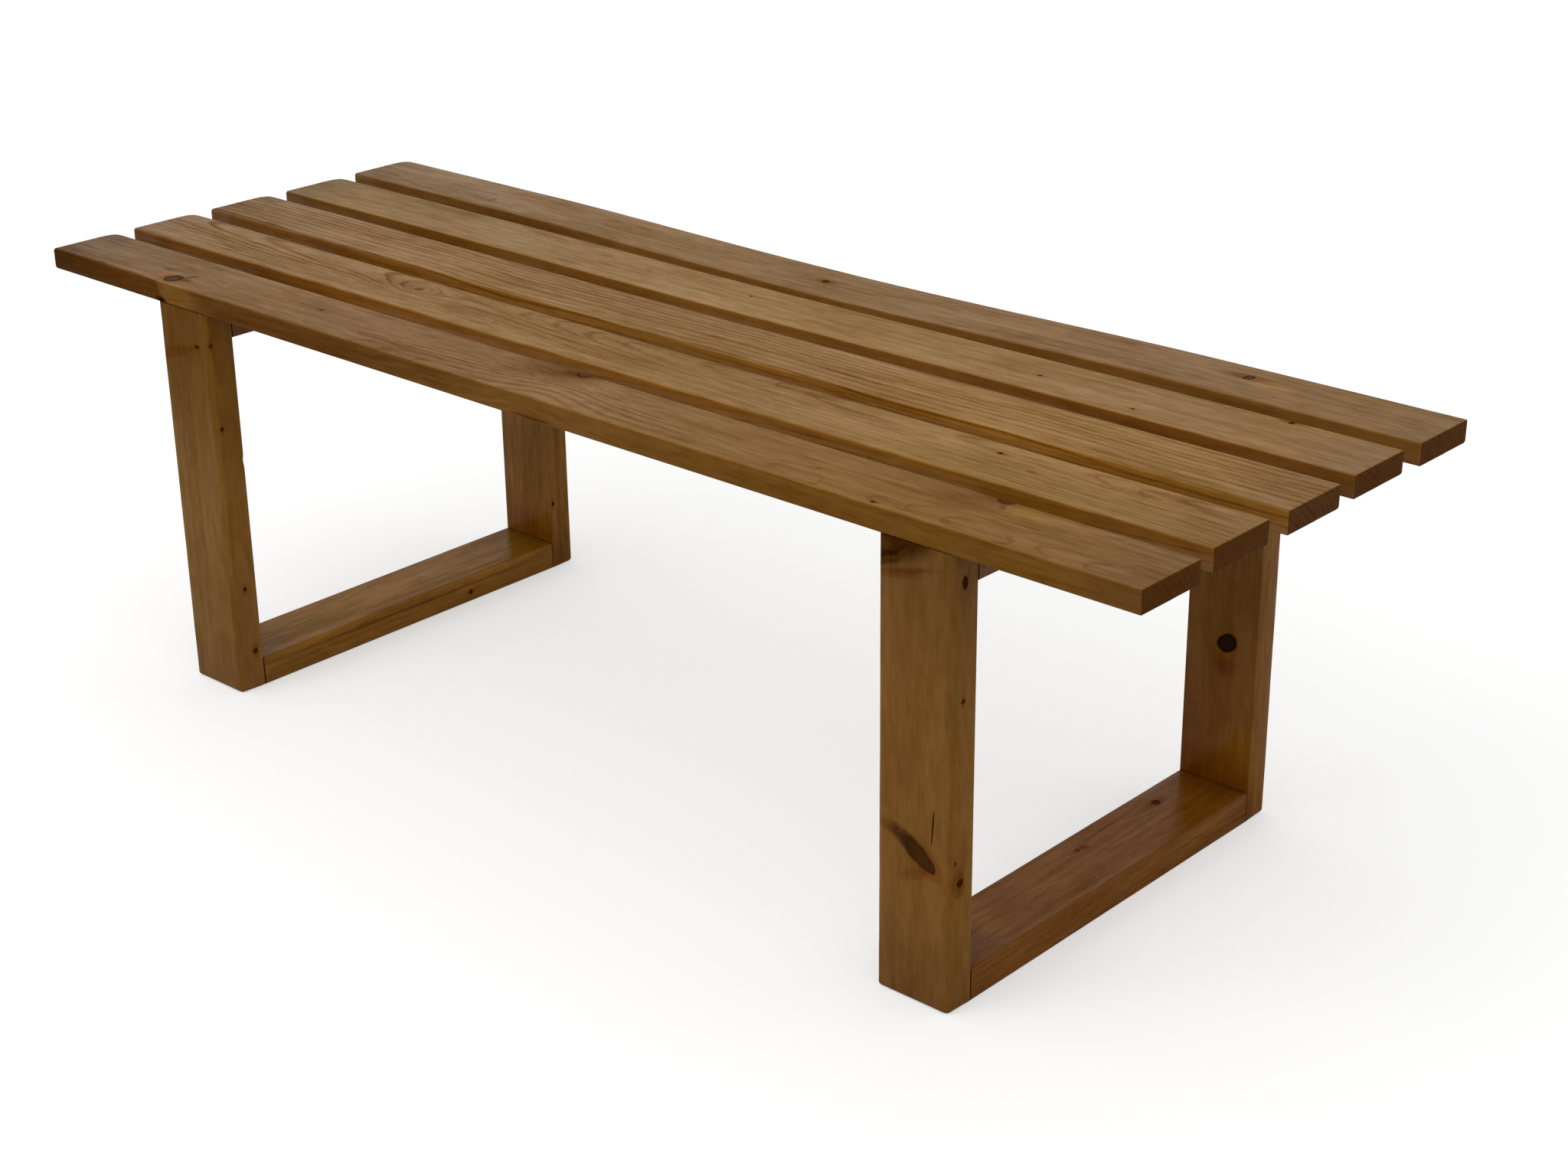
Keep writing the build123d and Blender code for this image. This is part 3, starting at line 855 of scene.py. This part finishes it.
LOOKS["left_back_upright"] = dict(
    seed=(8.8, 0.7, 5.3), pith=(-100, -60), ring_width=6.4, slope=0.004, wander=12, rings=0.16, gloss=0.95,
    fibre=0.4, early=(0.254, 0.103, 0.005), narrow=(0.94, 0.94, 0.9),
    knots=[((-451, 222, 82), 2.2, "dark", dict(axis=(1, 0, 0)))],
    stains_and_shade=[
        ((-451, 231, 216), (5, 4, 220), (80, 70, 60), 0.7),
        ((-455, 217, 400), (2.5, 5, 34), (42, 32, 26), 0.6),
        ((-456, 217, 300), (1.6, 4, 120), (72, 62, 55), 0.7),
        ((-496, 217, 424), (34, 6, 2.2), (55, 44, 38), 0.7),
        ((-450, 234, 12), (6, 20, 24), (86, 78, 72), 0.8),
        # painted shade: this patch darkens the inner face low down, in the corner round the bottom rail
        ((-491, 216, 30), (60, 14, 34), (80, 70, 62), 0.7),
    ],
)
LOOKS["right_bottom_rail"] = dict(
    seed=(0.9, 4.8, 9.5), pith=(-88, -62), ring_width=5.4, slope=0.012, wander=18, wave=4, rings=0.2,
    gloss=0.78, early=(0.2, 0.069, 0.004), narrow=(1.08, 1.1, 0.9), narrow_gloss=0.68, joint_shade=1.0,
    knots=[
        ((481, 144), 4.4, "dark", dict(rough=0.7, heart=0.9, rim=0.6)),
        ((481, 16), 2.6, "dark", dict(rough=0.9, heart=0.6, rim=0.4)),
    ],
    stains_and_shade=[
        ((481, 25), (5, 6, 6), (80, 55, 40)), ((502, -147), (16, 13, 14), (115, 126, 120)),
        ((492, -102), (34, 22, 10), (85, 82, 72), 0.8),
    ],
)
LOOKS["left_bottom_rail"] = dict(
    seed=(6.6, 9.1, 2.4), pith=(-90, -70), ring_width=5.6, slope=0.01, wander=14, rings=0.18, gloss=0.86,
    early=(0.206, 0.088, 0.005), narrow=(1.34, 1.31, 1.9), joint_shade=1.0,
    knots=[((-451, 85, 12), 3, "red", dict(axis=(1, 0, 0)))],
    stains_and_shade=[
        ((-451, 0, 22), (4, 200, 1.6), (76, 62, 50), 0.5),
        ((-496, 100), (60, 110, 8), (126, 122, 100), 0.5),
        ((-496, -104), (60, 110, 8), (138, 138, 150), 0.5),
    ],
)
LOOKS["right_top_rail"] = dict(
    seed=(3.7, 3.9, 0.3), pith=(-86, -70), ring_width=4.7, rings=0.3, early=AMBER, joint_shade=1.0,
)
LOOKS["left_top_rail"] = dict(
    seed=(9.9, 6.6, 6.9), pith=(-84, -64), ring_width=4.4, rings=0.3, early=AMBER, joint_shade=1.0,
)


# ---- boards

FRAME_X = {"left": -0.491, "right": 0.498}        # the middles of the two leg frames
SLAT_UNDERSIDE = 0.432
SLAT_SAGS = (0.0, 0.0006, 0.0012, 0.0016, 0.0054)
SAG_START, SAG_END = -0.451, 0.458                # between the leg frames
SCREW_ROWS = (-0.194, -0.105, 0.0, 0.105, 0.194)  # one to each slat
SCREWS_ASIDE = (-0.012, 0.012)
DOWELS_ASIDE = (-0.026, 0.026)
DOWEL_HEIGHTS = (0.016, 0.416)                    # the middles of the bottom and top rail
JOINT_Y = 0.218                                   # where the rails meet the uprights
ALONG_Y = (radians(90), 0, 0)
ROUND_EDGE, SHARP_EDGE = 0.005, 0.0007            # of the uprights, outside and inside the bench


def middle_and_half(node, lie):
    """A node's middle in the bench, and its half length, width and thickness."""
    low, high = (Vector(corner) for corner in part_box(node))
    return (low + high) / 2, Vector([abs(length) for length in LIES[lie] @ ((high - low) / 2)])


def board_inputs(node, lie, seed):
    """The inputs that every board has, read from the node that it stands for."""
    middle, half = middle_and_half(node, lie)
    finish = pine(node, lie, middle, half)
    return {
        "Length": half.x * 2, "Width": half.y * 2, "Thickness": half.z * 2, "Place": middle,
        "Turn": tuple(LIES[lie].transposed().to_euler()), "Seed": 1.7 * seed, "Finish": finish,
    }


for number, (sag, middle_y) in enumerate(zip(SLAT_SAGS, SCREW_ROWS)):
    node = f"slat_{number + 1}"
    inputs = board_inputs(node, "slat", number)
    pilots = [(x + side, middle_y + side, SLAT_UNDERSIDE) for x in FRAME_X.values() for side in SCREWS_ASIDE]
    inputs.update({
        "Upper Radius": 0.0013, "Lower Radius": 0.0013, "Lower Back Radius": 0.003, "Left Round": 0.0034,
        "Left Softness": 1.0, "Left Corner": 0.0072, "Right Round": 0.0012, "Edge Wear": 0.35, "Rows": 110,
        "Sag": sag, "Sag Start": SAG_START, "Sag End": SAG_END,
        "Bore Radius": 0.00205, "Bore Depth": 0.0145,
    })
    board = make_board(f"seat_{node}", node, inputs, pilots)

for number, (side, frame_x) in enumerate(FRAME_X.items()):
    for place, facing in (("front", -1), ("back", 1)):
        node = f"{side}_{place}_upright"
        inputs = board_inputs(node, "upright", 10 + 2 * number + facing)
        joints = [(frame_x + x, facing * JOINT_Y, z) for x in DOWELS_ASIDE for z in DOWEL_HEIGHTS]
        upper, lower = (ROUND_EDGE, SHARP_EDGE) if facing > 0 else (SHARP_EDGE, ROUND_EDGE)
        inputs.update({
            "Upper Radius": upper, "Lower Radius": lower, "Lower Back Radius": lower, "Left Round": 0.0035,
            "Right Round": 0.0003, "Edge Wear": 0.22, "Rows": 90, "Bore Radius": 0.00405, "Bore Depth": 0.020,
        })
        if node == "left_front_upright":
            inputs.update({"Dent Place": mm(46, 40, 16), "Dent Length": 0.005, "Dent Depth": 0.002})
        board = make_board(f"leg_{node}", node, inputs, joints, ALONG_Y)
    node = f"{side}_bottom_rail"
    inputs = board_inputs(node, "rail", 20 + number)
    joints = [(frame_x + x, y, DOWEL_HEIGHTS[0]) for x in DOWELS_ASIDE for y in (-JOINT_Y, JOINT_Y)]
    inputs.update({
        "Upper Radius": 0.002, "Lower Radius": 0.002, "Lower Back Radius": 0.002, "Left Round": 0.0006,
        "Right Round": 0.0006, "Edge Wear": 0.22, "Rows": 60, "Bore Radius": 0.00405, "Bore Depth": 0.022,
    })
    board = make_board(f"foot_{node}", node, inputs, joints, ALONG_Y)
    node = f"{side}_top_rail"
    finish = pine(node, "rail", *middle_and_half(node, "rail"))
    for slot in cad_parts[node].material_slots:
        slot.material = finish


# ---- fixings

def make_beech():
    """Turned beech: short dark flecks along the pin, which lies along Y."""
    made, tree = new_material("turned_beech")
    place = coordinate(tree, "Object")
    flecks = place.noise((900.0, 160.0, 900.0), 2.0, 0.6).ramp(0.55, 0.72)
    tone = place.noise((60.0, 20.0, 60.0), 3.0)
    colour = tone.blend((0.62, 0.44, 0.27), (0.48, 0.31, 0.17))
    colour = (flecks * 0.5).blend(colour, (0.27, 0.15, 0.075))
    close_material(colour, tone - flecks * 0.5, 0.0002, 0.5, {"Roughness": tone * 0.2 + 0.5, "Metallic": 0.0})
    return made


def make_zinc():
    """Dull zinc plate with fine turning marks and darker patches."""
    made, tree = new_material("zinc_plate")
    place = coordinate(tree, "Object")
    patch = place.noise(320.0, 4.0, 0.6)
    fine = place.noise((2400.0, 2400.0, 9000.0), 2.0, 0.6)
    colour = patch.ramp(0.35, 0.7).blend((0.66, 0.65, 0.61), (0.40, 0.39, 0.36))
    shine = {"Roughness": patch * 0.3 + 0.28, "Metallic": 1.0}
    close_material(colour, fine * 0.5 + patch * 0.5, 0.0002, 0.35, shine)
    return made


beech = make_beech()
zinc = make_zinc()
for node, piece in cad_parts.items():
    if "dowel" in node or "screw" in node:
        for slot in piece.material_slots:
            slot.material = beech if "dowel" in node else zinc


# ---- floor, light and camera

def seen_directly(tree):
    """1 for rays that see or mirror the surroundings, 0 for those that only carry light."""
    path = add(tree, "ShaderNodeLightPath")
    rays = [Flow(tree, path.outputs[f"Is {ray} Ray"]) for ray in ("Camera", "Glossy", "Transmission")]
    return rays[0].most(rays[1]).most(rays[2])


def make_floor():
    """A wide pale floor that keeps a soft shadow."""
    mesh = bpy.data.meshes.new("floor")
    reach = 40.0
    corners = [(-reach, -reach, 0), (reach, -reach, 0), (reach, reach, 0), (-reach, reach, 0)]
    mesh.from_pydata(corners, [], [(0, 1, 2, 3)])
    floor = link(bpy.data.objects.new("floor", mesh))
    made, tree = new_material("pale_floor")
    shown = flow_of(tree, "ShaderNodeBsdfDiffuse", {"Color": (0.72, 0.72, 0.72)})
    glow = flow_of(tree, "ShaderNodeEmission", {"Color": (1, 1, 1), "Strength": 0.42})
    both = flow_of(tree, "ShaderNodeAddShader", (shown, glow))
    carried = flow_of(tree, "ShaderNodeBsdfDiffuse", {"Color": (0.40, 0.38, 0.36)})
    show(tree, flow_of(tree, "ShaderNodeMixShader", (seen_directly(tree), carried, both)))
    mesh.materials.append(made)


def make_light():
    """White surroundings and one large soft lamp above the front."""
    world = bpy.data.worlds.new("white_room")
    bpy.context.scene.world = world
    world.use_nodes = True
    tree = world.node_tree
    tree.nodes.clear()
    strength = seen_directly(tree).ramp(0.0, 1.0, 0.82, 1.0, "LINEAR")
    sky = flow_of(tree, "ShaderNodeBackground", {"Color": (1, 1, 1), "Strength": strength})
    show(tree, sky, "World")
    lamp = bpy.data.lights.new("soft_lamp", "AREA")
    lamp.shape = "DISK"
    lamp.size = 2.4
    lamp.energy = 22
    lamp.color = (1.0, 0.985, 0.96)
    holder = link(bpy.data.objects.new("soft_lamp", lamp))
    holder.location = (-0.6, -2.4, 2.6)
    target = Vector((0, 0, 0.3))
    holder.rotation_euler = (target - holder.location).to_track_quat("-Z", "Y").to_euler()


def make_camera():
    """The camera, level with someone standing off the bench's right front corner."""
    lens = bpy.data.cameras.new("camera")
    lens.sensor_width = 36
    lens.lens = 61.658
    camera = link(bpy.data.objects.new("camera", lens))
    camera.location = (1.77623, -1.81308, 1.26379)
    camera.rotation_euler = [radians(angle) for angle in (66.67579, 0.59231, 42.07075)]
    bpy.context.scene.camera = camera


make_floor()
make_light()
make_camera()
bpy.context.scene.view_settings.view_transform = "Standard"
bpy.context.view_layer.update()
